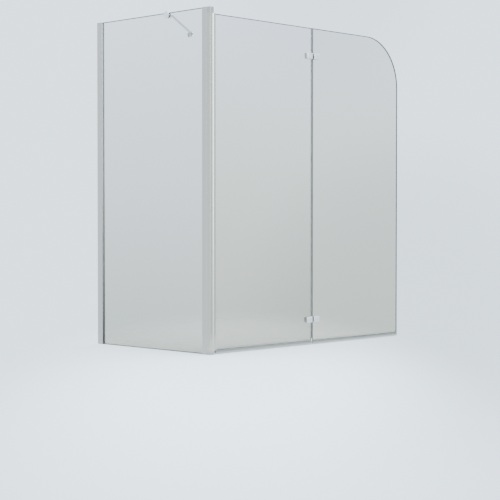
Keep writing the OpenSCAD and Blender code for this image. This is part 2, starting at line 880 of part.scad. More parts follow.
module inner_hinge_covers() {
    color(chrome) at_hinges(-1) cover_plate();
}

module outer_hinge_covers() {
    color(chrome) at_hinges(1) cover_plate();
}

// Inside hinge plate, with its knuckles in the height bands of zs and their bore of radius bore
module hinge_plate(zs, bore) {
    back = plate_y + inside_plate_t;
    front = pin_offset - knuckle_r;
    difference() {
        union() {
            translate([0, back, 0]) rotate([90, 0, 0]) linear_extrude(inside_plate_t) plate_outline();
            for (z = zs) translate([0, 0, z[0]]) linear_extrude(z[1] - z[0]) {
                translate([0, pin_offset]) circle(knuckle_r);
                translate([0, front]) square([plate_x + 4, back - front]);
            }
        }
        translate([0, pin_offset, -plate_h]) cylinder(r = bore, h = 2 * plate_h);
        for (x = screw_xs) translate([x, back, 0]) rotate([-90, 0, 0])
            countersunk_hole(hinge_screw_r + fit, inside_plate_t, hinge_head_r + 0.1);
    }
}

module inner_hinge_plates() {
    half = plate_h / 2;
    edge = knuckle_z + knuckle_gap;
    color(chrome) at_hinges(-1) hinge_plate([[-half, -edge], [edge, half]], hinge_pin_r + eps);
}

module outer_hinge_plates() {
    color(chrome) at_hinges(1) hinge_plate([[-knuckle_z, knuckle_z]], hinge_pin_r + hinge_bush_t);
}

module hinge_bushes() {
    color(nylon) at_hinges(1) translate([0, pin_offset, -knuckle_z]) difference() {
        cylinder(r = hinge_pin_r + hinge_bush_t - eps, h = 2 * knuckle_z);
        translate([0, 0, -1]) cylinder(r = hinge_pin_r + run_fit, h = 2 * knuckle_z + 2);
    }
}

module hinge_pins() {
    c = 0.5;
    shank = plate_h - 2 * c;
    color(steel) at_hinges(-1) translate([0, pin_offset, -plate_h / 2]) {
        cylinder(r1 = hinge_pin_r - c, r2 = hinge_pin_r, h = c);
        translate([0, 0, c]) cylinder(r = hinge_pin_r, h = shank);
        translate([0, 0, c + shank]) cylinder(r1 = hinge_pin_r, r2 = hinge_pin_r - c, h = c);
    }
}

// Pads on both faces of the glass, with a sleeve through each hole in it
module hinge_pad() {
    difference() {
        union() {
            for (y = [-half_t, plate_y]) translate([0, y, 0]) rotate([90, 0, 0])
                linear_extrude(pad_t) plate_outline();
            for (x = screw_xs) translate([x, half_t + 0.2, 0]) rotate([90, 0, 0])
                cylinder(r = sleeve_r - eps, h = glass_t + 0.4);
        }
        for (x = screw_xs) translate([x, plate_y + 1, 0]) rotate([90, 0, 0])
            cylinder(r = hinge_screw_r + fit, h = 2 * plate_y + 2);
    }
}

module inner_hinge_pads() {
    color(clear_seal) at_hinges(-1) hinge_pad();
}

module outer_hinge_pads() {
    color(clear_seal) at_hinges(1) hinge_pad();
}

// The screws of the inside plates on one side of the fold, which bite into the cover plates
module hinge_screws(side) {
    back = plate_y + inside_plate_t;
    len = back + plate_y + hinge_screw_bite;
    color(steel) at_hinges(side) for (x = screw_xs) translate([x, back, 0]) rotate([-90, 0, 0])
        countersunk_screw(hinge_screw_r, len, hinge_head_r, 3);
}

wall_profile();
wall_profile_cap();
wall_gaskets();
side_glass();
rim_strip();
side_channel();
channel_cap();
channel_gaskets();
channel_screws();
corner_post();
post_seal();
upper_block();
post_cover();
upper_block_screws();
foot_block();
foot_block_screws();
upper_pivot_pin();
lower_pivot_pin();
glass_clamp();
clamp_liner();
clamp_screw();
bar_screw();
support_bar();
bar_end();
swivel_screw();
wall_flange();
pivot_stile();
stile_gaskets();
upper_bush();
lower_bush();
inner_glass();
inner_bottom_seal();
fold_seal();
inner_hinge_covers();
inner_hinge_plates();
inner_hinge_pads();
hinge_screws(-1);  // inner_hinge_screws
hinge_pins();
outer_glass();
outer_bottom_seal();
outer_hinge_covers();
outer_hinge_plates();
outer_hinge_pads();
hinge_screws(1);  // outer_hinge_screws
hinge_bushes();
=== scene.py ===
"""The looks of a folding bath screen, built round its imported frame.

Everything is in metres, in the frame's own axes: X runs along the front glass to its free edge, Y runs along
the side glass to the wall profile, and Z rises from the level that the screen stands on. Sizes that are given
in millimetres say so.
"""

import logging
import math
from collections.abc import Sequence
from dataclasses import dataclass
from enum import Enum
from typing import ClassVar

import bpy
import numpy as np
from mathutils import Matrix, Vector


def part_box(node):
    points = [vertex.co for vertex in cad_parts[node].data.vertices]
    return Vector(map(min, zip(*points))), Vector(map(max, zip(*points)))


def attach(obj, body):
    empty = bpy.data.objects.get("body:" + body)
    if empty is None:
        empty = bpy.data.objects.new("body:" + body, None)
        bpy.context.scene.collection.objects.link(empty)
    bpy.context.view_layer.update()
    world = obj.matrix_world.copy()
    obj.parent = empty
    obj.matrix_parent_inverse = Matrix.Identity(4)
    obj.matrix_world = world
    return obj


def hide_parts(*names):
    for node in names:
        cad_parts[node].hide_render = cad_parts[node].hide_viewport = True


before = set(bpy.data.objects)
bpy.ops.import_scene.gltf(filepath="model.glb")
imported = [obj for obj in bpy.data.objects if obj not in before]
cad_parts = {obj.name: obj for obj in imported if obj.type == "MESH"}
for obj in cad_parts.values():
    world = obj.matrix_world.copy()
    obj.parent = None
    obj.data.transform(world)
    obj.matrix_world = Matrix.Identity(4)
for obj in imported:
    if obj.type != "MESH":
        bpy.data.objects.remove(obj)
log = logging.getLogger("bath_screen")
MM = 0.001
CREASE = math.radians(32)  # faces that meet at a wider angle keep a sharp edge between them
NOISE_BAND = (0.3, 0.7)  # nearly all of a noise texture's values lie between these


class Body(Enum):
    """The three parts that move against each other."""

    FIXED = "fixed"
    INNER_LEAF = "inner_leaf"
    OUTER_LEAF = "outer_leaf"


class Slot(Enum):
    """Names of the record's material slots; no new piece takes its finish from them."""

    CHROME = "chrome"
    CLEAR_SEAL = "clear_seal"
    GREY_SEAL = "grey_seal"


class Axis(Enum):
    """The way a profile is carried: the directions of its across, its up and its path, right-handed."""

    ALONG = ((0.0, 1.0, 0.0), (0.0, 0.0, 1.0), (1.0, 0.0, 0.0))
    UP = ((1.0, 0.0, 0.0), (0.0, 1.0, 0.0), (0.0, 0.0, 1.0))
    FRONT = ((1.0, 0.0, 0.0), (0.0, 0.0, 1.0), (0.0, -1.0, 0.0))


# ---------------------------------------------------------------- colour and node helpers


def linear(hex_colour: str) -> tuple[float, float, float, float]:
    """Turns an sRGB hex colour into linear light.

    Args:
        hex_colour: six hex digits with a leading #.

    Returns:
        Red, green, blue and an alpha of 1, in linear light.
    """
    parts = [int(hex_colour[i : i + 2], 16) / 255 for i in (1, 3, 5)]
    bent = [p / 12.92 if p <= 0.04045 else ((p + 0.055) / 1.055) ** 2.4 for p in parts]
    return (bent[0], bent[1], bent[2], 1.0)


def add_node(
    tree: bpy.types.NodeTree, kind: str, settings: dict | None = None, links: dict | None = None
) -> bpy.types.Node:
    """Adds one node, sets its properties and socket values, and links sockets to it.

    Args:
        tree: the node tree.
        kind: the node's type name.
        settings: property or input name (or input number) to value.
        links: input name or number to the output socket that feeds it.

    Returns:
        The new node.
    """
    node = tree.nodes.new(kind)
    for key, value in (settings or {}).items():
        if isinstance(key, str) and hasattr(node, key):
            setattr(node, key, value)
        else:
            node.inputs[key].default_value = value
    for key, socket in (links or {}).items():
        tree.links.new(socket, node.inputs[key])
    return node


def new_material(name: str) -> tuple[bpy.types.Material, bpy.types.NodeTree, bpy.types.Node]:
    """Makes an empty node material.

    Args:
        name: the material's name.

    Returns:
        The material, its node tree and its output node.
    """
    material = bpy.data.materials.new(name)
    material.use_nodes = True
    tree = material.node_tree
    tree.nodes.clear()
    return material, tree, add_node(tree, "ShaderNodeOutputMaterial")


# ---------------------------------------------------------------- surfaces


def rounded(corners: Sequence[tuple[float, float, float]], steps: int = 6) -> np.ndarray:
    """Rounds the corners of a closed outline.

    Each corner becomes an arc of its own radius. The arc's centre lies on the corner's bisector, the radius
    over the sine of half the corner's angle away. Its points turn evenly from one side to the other.

    Args:
        corners: across, up and rounding radius of each corner in millimetres, counter-clockwise.
        steps: points on each arc.

    Returns:
        The outline's points in metres, one row each.
    """
    data = np.asarray(corners, float)
    corner, radius = data[:, :2], data[:, 2:]
    back = np.roll(corner, 1, 0) - corner
    ahead = np.roll(corner, -1, 0) - corner
    back /= np.linalg.norm(back, axis=1, keepdims=True)
    ahead /= np.linalg.norm(ahead, axis=1, keepdims=True)
    half = np.arccos(np.clip((back * ahead).sum(1, keepdims=True), -1, 1)) / 2
    bisector = (back + ahead) / np.linalg.norm(back + ahead, axis=1, keepdims=True)
    centre = corner + bisector * radius / np.sin(half)
    start = corner + back * radius / np.tan(half) - centre
    stop = corner + ahead * radius / np.tan(half) - centre
    first = np.arctan2(start[:, 1], start[:, 0])[:, None]
    turn = (np.arctan2(stop[:, 1], stop[:, 0])[:, None] - first + np.pi) % (2 * np.pi) - np.pi
    angle = first + turn * np.linspace(0, 1, steps)
    arc = np.stack([np.cos(angle), np.sin(angle)], -1) * radius[:, None]
    return ((centre[:, None] + arc) * MM).reshape(-1, 2)


def circle(centre: tuple[float, float], radius: float, count: int = 48) -> np.ndarray:
    """A circle's points, counter-clockwise: centre + radius * (cos a, sin a), given in millimetres."""
    turn = np.linspace(0, 2 * np.pi, count, endpoint=False)
    return (np.array(centre) + radius * np.stack([np.cos(turn), np.sin(turn)], 1)) * MM


def mirrored(outline: np.ndarray) -> np.ndarray:
    """The outline's mirror image across the up axis, with its points again counter-clockwise."""
    return (outline * (-1, 1))[::-1]


def upside_down(outline: np.ndarray) -> np.ndarray:
    """The outline turned upside down, with its points again counter-clockwise."""
    return (outline * (1, -1))[::-1]


def moved(outline: np.ndarray, across: float, up: float) -> np.ndarray:
    """The outline moved by across and up, in metres."""
    return outline + (across, up)


def placed(rings: Sequence[np.ndarray], heights: Sequence[float], axis: Axis) -> np.ndarray:
    """Sets outlines one above the other: point = across * A + up * B + height * C, the axis's directions.

    Args:
        rings: outlines of equal length.
        heights: the place of each on the path, in metres.
        axis: the directions of across, up and path.

    Returns:
        The points as rings by points by three.
    """
    flat = np.stack(rings)
    level = np.broadcast_to(np.asarray(heights, float)[:, None, None], flat.shape[:2] + (1,))
    return np.concatenate([flat, level], 2) @ np.array(axis.value)


def bar(outline: np.ndarray, start: float, stop: float, axis: Axis) -> np.ndarray:
    """An outline carried straight along the axis from start to stop, in metres."""
    return placed([outline, outline], [start, stop], axis)


def pipe(outer: np.ndarray, inner: np.ndarray, start: float, stop: float, axis: Axis) -> np.ndarray:
    """A wall between two outlines: its rings run out along the outside and back along the inside."""
    return placed([outer, outer, inner, inner], [start, stop, stop, start], axis)


def pillow(outline: "Outline", base: float, top: float, radius: float, axis: Axis) -> np.ndarray:
    """A slab whose upper edge is a quarter circle.

    At the angle a the outline is drawn in by radius * (1 - cos a) and lies at top - radius * (1 - sin a).

    Args:
        outline: gives the slab's outline, drawn in by a number of millimetres.
        base: the underside's place on the path, in metres.
        top: the upper side's place on the path, in metres.
        radius: the edge's radius in millimetres.
        axis: the directions of across, up and path.

    Returns:
        The slab's rings.
    """
    steps = 9
    angles = np.linspace(0, np.pi / 2, steps)
    rings = [outline.inset(0.0)] + [outline.inset(radius * (1 - np.cos(a))) for a in angles]
    heights = [base] + list(top - radius * MM * (1 - np.sin(angles)))
    return placed(rings, heights, axis)


class Outline:
    """A closed outline that can be drawn in evenly."""

    def inset(self, by: float) -> np.ndarray:
        """The outline's points, drawn in by a number of millimetres."""
        raise NotImplementedError


@dataclass(frozen=True)
class SoftRect(Outline):
    """A rectangle with rounded corners, in millimetres."""

    low: tuple[float, float]
    high: tuple[float, float]
    radius: float
    least_radius: float = 0.3

    def inset(self, by: float) -> np.ndarray:
        """The rectangle, drawn in evenly.

        Args:
            by: how far, in millimetres.

        Returns:
            The outline's points in metres.
        """
        r = max(self.radius - by, self.least_radius)
        x0, y0, x1, y1 = self.low[0] + by, self.low[1] + by, self.high[0] - by, self.high[1] - by
        return rounded([(x0, y0, r), (x1, y0, r), (x1, y1, r), (x0, y1, r)])


@dataclass(frozen=True)
class RoundEnded(Outline):
    """The corner post's plan: square on one side and round about the pivot on the other, in millimetres."""

    half: float
    pivot: float
    corner: float
    hair: float = 0.01  # keeps the two quarter circles of the round end apart, so no points coincide
    steps: int = 16

    def inset(self, by: float) -> np.ndarray:
        """The plan, drawn in evenly.

        Args:
            by: how far, in millimetres.

        Returns:
            The outline's points in metres.
        """
        h = self.half - by
        tip = self.pivot + h
        r = h - self.hair
        return rounded([(-h, -h, self.corner), (tip, -h, r), (tip, h, r), (-h, h, self.corner)], self.steps)


@dataclass(frozen=True)
class GlazingGasket:
    """Half of a glazing gasket, right of the glass: it starts at a profile's mouth and runs up into it.

    Half widths are taken at the space behind the lips (cavity), between the lips (mouth), over the nose that
    stands out of the mouth (cover) and at the glass's face (inside). Everything is in millimetres.
    """

    cavity: float
    mouth: float
    cover: float
    nose: float
    inside: float = 2.52
    lip: float = 2.5
    depth: float = 12.0

    def section(self) -> np.ndarray:
        """The section's outline, with the mouth at height 0.

        Returns:
            The outline in metres, counter-clockwise.
        """
        return rounded(
            [
                (self.inside, -self.nose, 0.15),
                ((self.inside + self.cover) / 2, -self.nose, 0.7),
                (self.cover, -self.nose * 0.35, 0.5),
                (self.mouth, 0.1, 0.05),
                (self.mouth, self.lip, 0.1),
                (self.cavity, self.lip, 0.1),
                (self.cavity, self.depth - 2, 0.3),
                (self.inside, self.depth, 0.2),
            ]
        )


def add_piece(
    name: str,
    shells: Sequence[np.ndarray],
    body: Body,
    material: bpy.types.Material,
    replaces: Sequence[str],
    hollow: bool = False,
) -> bpy.types.Object:
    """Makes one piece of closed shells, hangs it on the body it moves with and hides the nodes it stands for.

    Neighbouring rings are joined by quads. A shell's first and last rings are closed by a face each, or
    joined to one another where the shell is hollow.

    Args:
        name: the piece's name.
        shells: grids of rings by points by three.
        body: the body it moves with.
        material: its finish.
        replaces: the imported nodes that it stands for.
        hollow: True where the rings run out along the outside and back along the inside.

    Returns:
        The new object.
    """
    points: list[np.ndarray] = []
    faces: list[list[int]] = []
    base = 0
    for rings in shells:
        count, size = rings.shape[:2]
        index = base + np.arange(count * size).reshape(count, size)
        if hollow:
            index = np.concatenate([index, index[:1]])
        step = np.roll(index, -1, 1)
        faces += np.stack([index[:-1], step[:-1], step[1:], index[1:]], -1).reshape(-1, 4).tolist()
        if not hollow:
            faces += [index[0, ::-1].tolist(), index[-1].tolist()]
        points.append(rings.reshape(-1, 3))
        base += count * size
    mesh = bpy.data.meshes.new(name)
    mesh.from_pydata(np.concatenate(points).tolist(), [], faces)
    mesh.polygons.foreach_set("use_smooth", np.ones(len(mesh.polygons), bool))
    mesh.set_sharp_from_angle(angle=CREASE)
    mesh.materials.append(material)
    piece = bpy.data.objects.new(name, mesh)
    bpy.context.scene.collection.objects.link(piece)
    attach(piece, body.value)
    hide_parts(*replaces)
    log.info("made %s in %s on %s", name, material.name, body.value)
    return piece


# ---------------------------------------------------------------- finishes


@dataclass(frozen=True)
class AnodisedAluminium:
    """Extruded aluminium, bright-dipped and clear anodised.

    To the eye it is a satin metal with faint die lines along its length, which soften what it mirrors.
    """

    colour: str = "#A9A49E"
    roughness: float = 0.24
    smoother: float = 0.04
    rougher: float = 0.05
    line_spacing: float = 0.9 * MM  # real die lines are 0.1 mm apart, too fine to show
    line_depth: float = 0.04 * MM
    line_strength: float = 0.12
    stretch: tuple[float, float, float] = (1.0, 1.0, 0.004)  # draws the noise out along the extrusion

    def material(self, name: str) -> bpy.types.Material:
        """Builds the material.

        Args:
            name: the material's name.

        Returns:
            The finished material.
        """
        material, tree, out = new_material(name)
        coords = add_node(tree, "ShaderNodeTexCoord")
        mapping = add_node(
            tree, "ShaderNodeMapping", {"Scale": self.stretch}, {"Vector": coords.outputs["Object"]}
        )
        lines = add_node(
            tree,
            "ShaderNodeTexNoise",
            {"Scale": 1 / self.line_spacing, "Detail": 3.0, "Roughness": 0.6},
            {"Vector": mapping.outputs["Vector"]},
        )
        rough = add_node(
            tree,
            "ShaderNodeMapRange",
            {
                "From Min": NOISE_BAND[0],
                "From Max": NOISE_BAND[1],
                "To Min": self.roughness - self.smoother,
                "To Max": self.roughness + self.rougher,
            },
            {"Value": lines.outputs["Fac"]},
        )
        bump = add_node(
            tree,
            "ShaderNodeBump",
            {"Strength": self.line_strength, "Distance": self.line_depth},
            {"Height": lines.outputs["Fac"]},
        )
        shader = add_node(
            tree,
            "ShaderNodeBsdfPrincipled",
            {"Base Color": linear(self.colour), "Metallic": 1.0},
            {"Roughness": rough.outputs["Result"], "Normal": bump.outputs["Normal"]},
        )
        tree.links.new(shader.outputs["BSDF"], out.inputs["Surface"])
        return material


@dataclass(frozen=True)
class PlatedMetal:
    """Chrome or nickel on polished brass or zinc, or a finely brushed steel tube.

    To the eye it is a soft mirror, duller here and there by a trace of handling haze.
    """

    colour: str
    roughness: float
    haze: float = 0.07
    haze_size: float = 14 * MM

    def material(self, name: str) -> bpy.types.Material:
        """Builds the material.

        Args:
            name: the material's name.

        Returns:
            The finished material.
        """
        material, tree, out = new_material(name)
        coords = add_node(tree, "ShaderNodeTexCoord")
        patches = add_node(
            tree,
            "ShaderNodeTexNoise",
            {"Scale": 1 / self.haze_size, "Detail": 4.0},
            {"Vector": coords.outputs["Object"]},
        )
        rough = add_node(
            tree,
            "ShaderNodeMapRange",
            {
                "From Min": 0.35,  # above the noise's usual low, so most of the surface stays clear
                "From Max": 0.75,
                "To Min": self.roughness,
                "To Max": self.roughness + self.haze,
            },
            {"Value": patches.outputs["Fac"]},
        )
        shader = add_node(
            tree,
            "ShaderNodeBsdfPrincipled",
            {"Base Color": linear(self.colour), "Metallic": 1.0},
            {"Roughness": rough.outputs["Result"]},
        )
        tree.links.new(shader.outputs["BSDF"], out.inputs["Surface"])
        return material


@dataclass(frozen=True)
class ToughenedGlass:
    """Lightly tinted float glass, toughened, with ground edges.

    To the eye it is clear through its faces, with a light tint of its own and painted shade that deepens
    towards the bottom, and dark on its edges. A pane this thin hardly shifts what lies behind it, so the
    faces let light straight through and add the reflection of both. Next to its edges a pane has a narrow
    painted dark line, painted shade that stands for the ground edge and its arris throwing the light aside.
    The line follows the round corner of the outer leaf.
    """

    bottom: float
    top: float
    corner_at: float = 10.0  # X of the upright beside the round corner, far off where a pane has none
    corner: float = 0.05
    thin_axis: int = 1
    # The pane's light tint of its own, with painted shade that darkens it from high at the top to low at the
    # bottom.
    low: str = "#A9A596"
    middle: str = "#CDC9BA"
    high: str = "#EAE6E9"
    shade_ramp_height: float = 1.4
    edge: str = "#2A2A26"
    edge_roughness: float = 0.35
    edge_sheen: float = 0.2
    face_share: float = 0.9  # a normal nearer than this to the thin axis belongs to a face, others to an edge
    # Widths of the painted dark line of shade beside the top, the foot and the free end, and how much that
    # painted shade darkens the faces.
    line: float = 3.0 * MM
    foot_shade_line: float = 3.0 * MM
    end_shade_line: float = 0.0
    shade_line_factor: float = 0.08
    ior: float = 1.52

    def material(self, name: str) -> bpy.types.Material:
        """Builds the material.

        Args:
            name: the material's name.

        Returns:
            The finished material.
        """
        material, tree, out = new_material(name)
        coords = add_node(tree, "ShaderNodeTexCoord")
        facing = add_node(tree, "ShaderNodeSeparateXYZ", None, {"Vector": coords.outputs["Normal"]})
        place = add_node(tree, "ShaderNodeSeparateXYZ", None, {"Vector": coords.outputs["Object"]})
        # Painted shade: the colour that the faces let through darkens towards the bottom by height.
        height = add_node(
            tree,
            "ShaderNodeMapRange",
            {"From Min": 0.0, "From Max": self.shade_ramp_height},
            {"Value": place.outputs["Z"]},
        )
        tint = add_node(tree, "ShaderNodeValToRGB", None, {"Fac": height.outputs["Result"]})
        ramp = tint.color_ramp
        for element, colour in ((ramp.elements[0], self.low), (ramp.elements[1], self.high)):
            element.color = self._face(colour)
        ramp.elements.new(0.5).color = self._face(self.middle)
        # Painted shade: the faces darken in a narrow line beside the edges.
        shade_lined = add_node(
            tree,
            "ShaderNodeMix",
            {"data_type": "RGBA", "blend_type": "MULTIPLY", 7: (self.shade_line_factor,) * 3 + (1.0,)},
            {0: self._painted_shade_line(tree, place), 6: tint.outputs["Color"]},
        )
        pane = clear_sheet(tree, shade_lined.outputs[2], self.ior)
        flat = add_node(
            tree, "ShaderNodeMath", {"operation": "ABSOLUTE"}, {0: facing.outputs[self.thin_axis]}
        )
        on_edge = add_node(
            tree, "ShaderNodeMath", {"operation": "LESS_THAN", 1: self.face_share}, {0: flat.outputs[0]}
        )
        edge = add_node(
            tree,
            "ShaderNodeBsdfPrincipled",
            {
                "Base Color": linear(self.edge),
                "Roughness": self.edge_roughness,
                "IOR": self.ior,
                "Specular IOR Level": self.edge_sheen,
            },
        )
        body = add_node(
            tree,
            "ShaderNodeMixShader",
            None,
            {0: on_edge.outputs[0], 1: pane, 2: edge.outputs["BSDF"]},
        )
        tree.links.new(body.outputs[0], out.inputs["Surface"])
        return material

    def _painted_shade_line(self, tree: bpy.types.NodeTree, place: bpy.types.Node) -> bpy.types.NodeSocket:
        """The painted shade line's mask: 1 within it, 0 elsewhere.

        With a and b how far a point lies into the corner's square across and up, and
        c = sqrt(a * a + b * b), the point lies radius - c inside the outline, and the line is
        (line * b + end_shade_line * a) / c wide there. At the foot it is foot_shade_line wide.

        Args:
            tree: the material's node tree.
            place: separated object coordinates.

        Returns:
            The mask's output.
        """

        def work_out(
            operation: str, first: object, second: object, clamp: bool = False
        ) -> bpy.types.NodeSocket:
            """Works out one step of the formula.

            Args:
                operation: what it works out.
                first: a number or a socket.
                second: a number or a socket.
                clamp: True to keep the result between 0 and 1.

            Returns:
                The result's output.
            """
            ends = {0: first, 1: second}
            links = {k: v for k, v in ends.items() if isinstance(v, bpy.types.NodeSocket)}
            values = {k: v for k, v in ends.items() if k not in links}
            settings = {"operation": operation, "use_clamp": clamp, **values}
            return add_node(tree, "ShaderNodeMath", settings, links).outputs[0]

        start_x, start_z = self.corner_at - self.corner, self.top - self.corner
        a = work_out("MAXIMUM", work_out("SUBTRACT", place.outputs["X"], start_x), 0.0)
        b = work_out("MAXIMUM", work_out("SUBTRACT", place.outputs["Z"], start_z), 0.0)
        c = work_out("SQRT", work_out("ADD", work_out("MULTIPLY", a, a), work_out("MULTIPLY", b, b)), 0.0)
        inside = work_out("MULTIPLY", work_out("SUBTRACT", self.corner, c), c)
        wide = work_out("ADD", work_out("MULTIPLY", b, self.line), work_out("MULTIPLY", a, self.end_shade_line))
        above = work_out("LESS_THAN", inside, wide)
        below = work_out("LESS_THAN", place.outputs["Z"], self.bottom + self.foot_shade_line)
        return work_out("ADD", above, below, True)

    def _face(self, colour: str) -> tuple[float, float, float, float]:
        """The share of light that one face lets through: the square root of the pane's."""
        r, g, b, a = linear(colour)
        return (math.sqrt(r), math.sqrt(g), math.sqrt(b), a)


def clear_sheet(
    tree: bpy.types.NodeTree, tint: bpy.types.NodeSocket | tuple[float, float, float, float], ior: float
) -> bpy.types.NodeSocket:
    """A thin clear sheet: the face seen first mirrors as much as both would, and the rest goes through.

    Args:
        tree: the material's node tree.
        tint: share of each colour that one face lets through, as a colour or as the output that gives it.
        ior: index of refraction.

    Returns:
        The sheet's shader output.
    """
    geometry = add_node(tree, "ShaderNodeNewGeometry")
    mirror = add_node(tree, "ShaderNodeFresnel", {"IOR": ior})
    front = add_node(
        tree,
        "ShaderNodeMath",
        {"operation": "MULTIPLY_ADD", 1: -2.0, 2: 2.0},
        {0: geometry.outputs["Backfacing"]},
    )
    share = add_node(
        tree,
        "ShaderNodeMath",
        {"operation": "MULTIPLY", "use_clamp": True},
        {0: mirror.outputs["Fac"], 1: front.outputs[0]},
    )
    if isinstance(tint, tuple):
        through = add_node(tree, "ShaderNodeBsdfTransparent", {"Color": tint})
    else:
        through = add_node(tree, "ShaderNodeBsdfTransparent", None, {"Color": tint})
    polish = 0.01
    gloss = add_node(tree, "ShaderNodeBsdfGlossy", {"Roughness": polish})
    sheet = add_node(
        tree,
        "ShaderNodeMixShader",
        None,
        {0: share.outputs[0], 1: through.outputs["BSDF"], 2: gloss.outputs["BSDF"]},
    )
    return sheet.outputs[0]


@dataclass(frozen=True)
class ClearPvc:
    """Extruded clear PVC, the hard kind that clips are made of.

    To the eye it is nearly invisible on the glass, with a faint milky haze in streaks.
    """

    colour: str = "#FAFBFB"
    milk: str = "#E6EAEA"
    haze: float = 0.04
    uneven: float = 0.4
    streak: float = 2.5 * MM
    ior: float = 1.15  # below the real 1.53, because a clip tight on the glass mirrors little

    def material(self, name: str) -> bpy.types.Material:
        """Builds the material.

        Args:
            name: the material's name.

        Returns:
            The finished material.
        """
        material, tree, out = new_material(name)
        coords = add_node(tree, "ShaderNodeTexCoord")
        streaks = add_node(
            tree,
            "ShaderNodeTexNoise",
            {"Scale": 1 / self.streak, "Detail": 2.0},
            {"Vector": coords.outputs["Object"]},
        )
        share = add_node(
            tree,
            "ShaderNodeMapRange",
            {
                "From Min": NOISE_BAND[0],
                "From Max": NOISE_BAND[1],
                "To Min": self.haze * (1 - self.uneven),
                "To Max": self.haze * (1 + self.uneven),
            },
            {"Value": streaks.outputs["Fac"]},
        )
        sheet = clear_sheet(tree, linear(self.colour), self.ior)
        milk = add_node(tree, "ShaderNodeBsdfTranslucent", {"Color": linear(self.milk)})
        body = add_node(
            tree,
            "ShaderNodeMixShader",
            None,
            {0: share.outputs["Result"], 1: sheet, 2: milk.outputs["BSDF"]},
        )
        tree.links.new(body.outputs[0], out.inputs["Surface"])
        return material


@dataclass(frozen=True)
class SoftPlastic:
    """Extruded soft PVC or moulded nylon.

    To the eye it is a waxy surface that light sinks into, with a fine grain. A strip may run from one
    colour at its foot to another at its top: the lips' own colour, or painted shade at the wall gaskets'
    foot.
    """

    colour: str
    roughness: float = 0.38
    transmission: float = 0.0
    foot: str = ""
    top: float = 1.4
    grain: float = 0.8 * MM
    grain_depth: float = 0.05 * MM
    grain_strength: float = 0.15
    ior: float = 1.53
    sink: float = 0.25
    sink_depth: float = 1.5 * MM

    def material(self, name: str) -> bpy.types.Material:
        """Builds the material.

        Args:
            name: the material's name.

        Returns:
            The finished material.
        """
        material, tree, out = new_material(name)
        coords = add_node(tree, "ShaderNodeTexCoord")
        grain = add_node(
            tree,
            "ShaderNodeTexNoise",
            {"Scale": 1 / self.grain, "Detail": 2.0},
            {"Vector": coords.outputs["Object"]},
        )
        bump = add_node(
            tree,
            "ShaderNodeBump",
            {"Strength": self.grain_strength, "Distance": self.grain_depth},
            {"Height": grain.outputs["Fac"]},
        )
        shader = add_node(
            tree,
            "ShaderNodeBsdfPrincipled",
            {
                "Base Color": linear(self.colour),
                "Roughness": self.roughness,
                "IOR": self.ior,
                "Transmission Weight": self.transmission,
                "Subsurface Weight": self.sink,
                "Subsurface Scale": self.sink_depth,
            },
            {"Normal": bump.outputs["Normal"]},
        )
        # A colour that runs by height: on the lips their own colour, on the wall gaskets painted shade that
        # darkens the foot.
        if self.foot:
            place = add_node(tree, "ShaderNodeSeparateXYZ", None, {"Vector": coords.outputs["Object"]})
            height = add_node(
                tree,
                "ShaderNodeMapRange",
                {"From Min": 0.0, "From Max": self.top},
                {"Value": place.outputs["Z"]},
            )
            blend = add_node(
                tree,
                "ShaderNodeMix",
                {"data_type": "RGBA", 6: linear(self.foot), 7: linear(self.colour)},
                {0: height.outputs["Result"]},
            )
            tree.links.new(blend.outputs[2], shader.inputs["Base Color"])
        tree.links.new(shader.outputs["BSDF"], out.inputs["Surface"])
        return material


